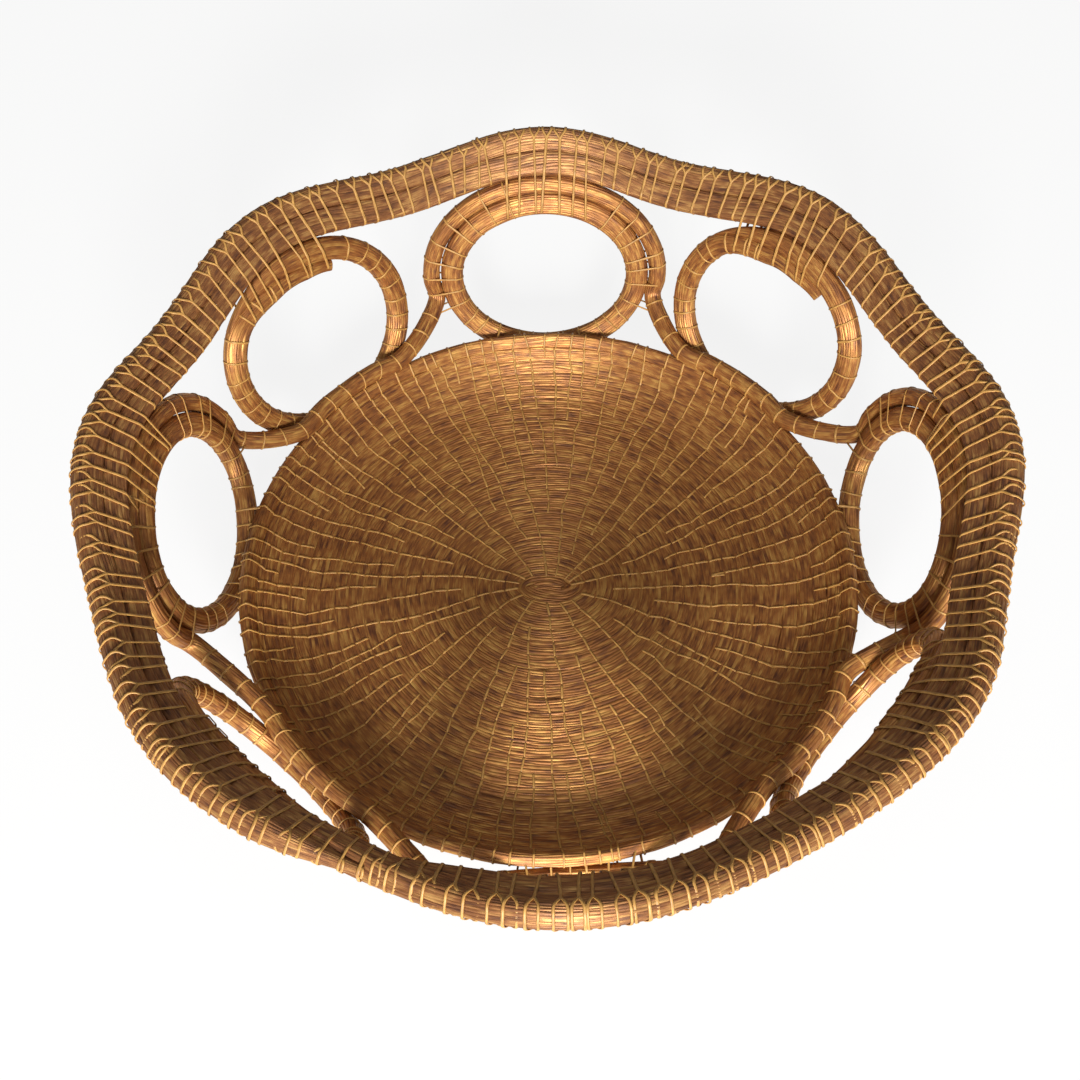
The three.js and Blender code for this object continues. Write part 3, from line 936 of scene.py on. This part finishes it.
# a place beside a row of the rim, along the band and off its face
def besideRow(row, along, off):
    radius, height = row
    return radius + along * flareOut - off * flareUp, height + along * flareUp + off * flareOut


# half width and half thickness that the thread lies on
def rowSize(turn):
    return rimHalf(turn) + rim["full"], rimHalf(turn) + rimSewing["flat"]


# circles in the corners of both rows
def rowCorners(firstTurn, rows):
    circles = []
    for lap, row in enumerate(rows):
        size, flat = rowSize(firstTurn + lap)
        for a, b in ((-1, -1), (-1, 1), (1, -1), (1, 1)):
            corner = flat * rimSewing["outerCorner" if lap and a > 0 else "corner"]
            circles.append((*besideRow(row, a * (size - corner), b * (flat - corner)), corner))
    return circles


# circles of the ring tops that lie under a stitch
def ringTops(azimuth, innerRow):
    circles = []
    farthest, steepest = rimSewing["mostAside"], rimSewing["mostAcross"]
    for ring in allRings:
        aside = turnAside(azimuth, ring["azimuth"])
        across = ring["topRadius"] * np.tan(np.clip(aside, -farthest, farthest)) / ring["halfWidth"]
        angle = np.arcsin(np.clip(across, -steepest, steepest))
        for lap in ((0,) if ring["low"] else (0, 1)):
            turn = (angle - rings["tailFrom"]) / fullTurn + lap
            inLap = (turn > rimSewing["lapFrom"]) & (turn < rimSewing["lapTo"] + rings["tailTurn"])
            top, topHalf = ringLine(ring, np.where(inLap, turn, rimSewing["flank"]))
            radius, height = np.hypot(top[:, 0], top[:, 1]), top[:, 2]
            gap = np.hypot(radius - innerRow[0], height - innerRow[1])
            room = wave["rope"] + rimSewing["waveSlack"] if ring["low"] else 2 * lap * rings["rope"]
            limit = rim["coil"] / 2 + rings["rope"] / 2 + sewing["reach"] + room
            meets = (np.abs(aside) < rimSewing["ringAside"]) & (gap < limit) & (inLap | ring["low"])
            circles.append((radius, height, np.where(meets, topHalf * rimSewing["ringPress"], nothing)))
    return circles


# circles of the wave, where it passes under a stitch
def waveTops(azimuth, innerRow):
    high = fineWave[fineWave[:, 2] > rimSewing["waveAbove"]]
    aside = np.abs(turnAside(azimuth[:, None], np.arctan2(high[:, 1], high[:, 0])[None]))
    near = high[aside.argmin(axis=1)]
    radius, height = np.hypot(near[:, 0], near[:, 1]), near[:, 2]
    gap = np.hypot(radius - innerRow[0], height - innerRow[1])
    meets = aside.min(axis=1) < rimSewing["waveAside"]
    meets &= gap < rim["coil"] / 2 + wave["rope"] / 2 + sewing["reach"]
    return [(radius, height, np.where(meets, waveHalf, nothing))]


# how far a leg stands off its stitch, by rows from the inner one
def forkLeg(onBand):
    reach = rimSewing["forkOut"] * rng.uniform(*rimSewing["legs"], (len(onBand), 1))
    return reach * smooth(onBand, rimSewing["forkAt"], rimSewing["forkFull"])


# second legs, from the fork along the flat of the outer row, over its edge and in under it
def addRimForks(azimuth, firstTurn, outerRow, lean, flip):
    flatSteps, turnSteps = rimSewing["flatSteps"], rimSewing["turnSteps"]
    size, flat = (v[:, None] for v in rowSize(firstTurn + 1))
    corner = rimSewing["outerCorner"] * flat
    around = corner + rimSewing["grow"]
    forkRow = (rimSewing["forkAt"] - 1) * rimPitch
    share = np.linspace(0, 1, flatSteps, endpoint=False)[None]
    turn = np.radians(np.linspace(90, rimSewing["turnTo"], turnSteps))[None]
    upright = np.clip(3 * turn, -1, 1)    # down the end of the row, within a third of a radian
    onRow = np.concatenate([forkRow + (size - corner - forkRow) * share,
                            size - corner + around * np.cos(turn)], axis=1)
    offRow = np.concatenate([np.broadcast_to(flat + rimSewing["grow"], (len(flat), flatSteps)),
                             (flat - corner) * upright + around * np.sin(turn)], axis=1)
    face = np.concatenate([np.full((1, flatSteps), math.pi / 2), turn], axis=1) + rim["flare"]
    face = np.broadcast_to(face, onRow.shape)
    r, z = besideRow([v[:, None] for v in outerRow], onRow, offRow)
    onBand = 1 + onRow / rimPitch
    path = polar(azimuth[:, None] + (lean * onBand - flip * forkLeg(onBand)) / r, r, z)
    way = polar(np.broadcast_to(azimuth[:, None], onRow.shape), np.cos(face), np.sin(face))
    swell = (1 - rimSewing["forkTip"]) * np.sin(np.linspace(0, math.pi, flatSteps + turnSteps))
    taper = np.minimum(1, rimSewing["forkTip"] + rimSewing["forkTaper"] * swell)[None]
    wide = rimSewing["forkWide"] * rimSewing["wide"] * taper
    addThreads("rim_forks", path, way, wide, sewing["thick"], False)


def addRimStitches():
    count = int(round(fullTurn * rimSewing["mean"] / rimSewing["every"]))
    uneven = rng.uniform(-rimSewing["uneven"], rimSewing["uneven"], count)
    azimuth = fullTurn * (np.arange(count) + uneven) / count
    firstTurn = ((azimuth - rimStepAt) / fullTurn) % 1
    innerRow, outerRow = (rimSection(azimuth, rimRow(firstTurn + lap)) for lap in (0, 1))
    circles = rowCorners(firstTurn, (innerRow, outerRow))
    circles += ringTops(azimuth, innerRow) + waveTops(azimuth, innerRow)
    loop = tightLoop(circles, rimSewing["grow"], rimSewing["steps"])
    r, z, ca, sb = evenLoop(*loop, rimSewing["evenSteps"])
    lean = rng.normal(size=(count, 1)) * rimSewing["lean"]
    innerR, innerZ = (v[:, None] for v in innerRow)
    onBand = ((r - innerR) * flareOut + (z - innerZ) * flareUp) / rimPitch
    leg = forkLeg(onBand)
    flip = np.where(rng.uniform(size=(count, 1)) < 0.5, -1, 1)
    path = polar(azimuth[:, None] + (lean * onBand + flip * leg) / r, r, z)
    way = polar(np.broadcast_to(azimuth[:, None], r.shape), ca, sb)
    wide = rimSewing["wide"] * rng.uniform(*rimSewing["widths"], (count, 1))
    lashings = ["rim_lashing_%d" % (i + 1) for i in range(ringCount)]
    addThreads("rim_stitches", path, way, wide, sewing["thick"], True, *lashings)
    addRimForks(azimuth, firstTurn, outerRow, lean, flip)


addRingStitches()
addWaveStitches()
addRimStitches()
print("rings, wave and rim sewn")


# floor and light: a white sweep, a softbox low on the near side and a wide one overhead
studio = {
    "near": {"watts": 34.0, "wide": 0.45, "tall": 0.3, "distance": 1.4, "up": math.radians(25)},
    "over": {"watts": 2.5, "wide": 0.7, "tall": 0.7, "distance": 1.3, "up": math.radians(84)},
    "sky": 0.15, "white": "#FFFFFF",
    "floor": "#F4F4F2", "whiten": 0.86, "reach": 6.0,    # m, half of the sweep
}


# rays of the given kinds see the white background
def seenBy(tree, *rays):
    path = addNode(tree, "ShaderNodeLightPath")
    seen = path.outputs[rays[0]]
    for ray in rays[1:]:
        seen = addNode(tree, "ShaderNodeMath", {0: seen, 1: path.outputs[ray]},
                       operation="MAXIMUM").outputs[0]
    return seen


# white paper, matt: bright where it is seen, with the bowl's shadow on it
def whitePaper():
    paper = bpy.data.materials.new("white_paper_sweep")
    paper.use_nodes = True
    tree = paper.node_tree
    tree.nodes.clear()
    seen = seenBy(tree, "Is Camera Ray", "Is Glossy Ray", "Is Transmission Ray")
    share = addNode(tree, "ShaderNodeMath", {0: seen, 1: studio["whiten"]}, operation="MULTIPLY")
    matt = addNode(tree, "ShaderNodeBsdfDiffuse", {"Color": hexColour(studio["floor"])})
    white = addNode(tree, "ShaderNodeEmission", {"Strength": 1.0})
    both = addNode(tree, "ShaderNodeMixShader",
                   {0: share.outputs[0], 1: matt.outputs[0], 2: white.outputs[0]})
    addNode(tree, "ShaderNodeOutputMaterial", {"Surface": both.outputs[0]})
    return paper


def addFloor():
    mesh = bpy.data.meshes.new("paper_floor")
    size = studio["reach"]
    corners = [(-size, -size, 0), (size, -size, 0), (size, size, 0), (-size, size, 0)]
    mesh.from_pydata(corners, [], [(0, 1, 2, 3)])
    mesh.materials.append(whitePaper())
    floor = bpy.data.objects.new("paper_floor", mesh)
    bpy.context.collection.objects.link(floor)


def addRoom():
    world = bpy.data.worlds.new("soft_room")
    bpy.context.scene.world = world
    world.use_nodes = True
    tree = world.node_tree
    tree.nodes.clear()
    seen = seenBy(tree, "Is Camera Ray", "Is Transmission Ray")
    plain = hexColour(studio["white"])
    room = addNode(tree, "ShaderNodeBackground", {"Color": plain, "Strength": studio["sky"]})
    white = addNode(tree, "ShaderNodeBackground", {"Color": plain, "Strength": 1.0})
    both = addNode(tree, "ShaderNodeMixShader", {0: seen, 1: room.outputs[0], 2: white.outputs[0]})
    addNode(tree, "ShaderNodeOutputWorld", {"Surface": both.outputs[0]})


def addSoftbox(name):
    box = studio[name]
    data = bpy.data.lights.new(name + "_softbox", "AREA")
    data.shape = "RECTANGLE"
    data.size, data.size_y = box["wide"], box["tall"]
    data.energy = box["watts"]
    back = np.array([0, -math.cos(box["up"]), math.sin(box["up"])])
    across = np.array([1.0, 0, 0])
    lamp = bpy.data.objects.new(name + "_softbox", data)
    standAt(lamp, across, np.cross(back, across), back, back * box["distance"])


addFloor()
addRoom()
addSoftbox("near")
addSoftbox("over")
print("studio lit")
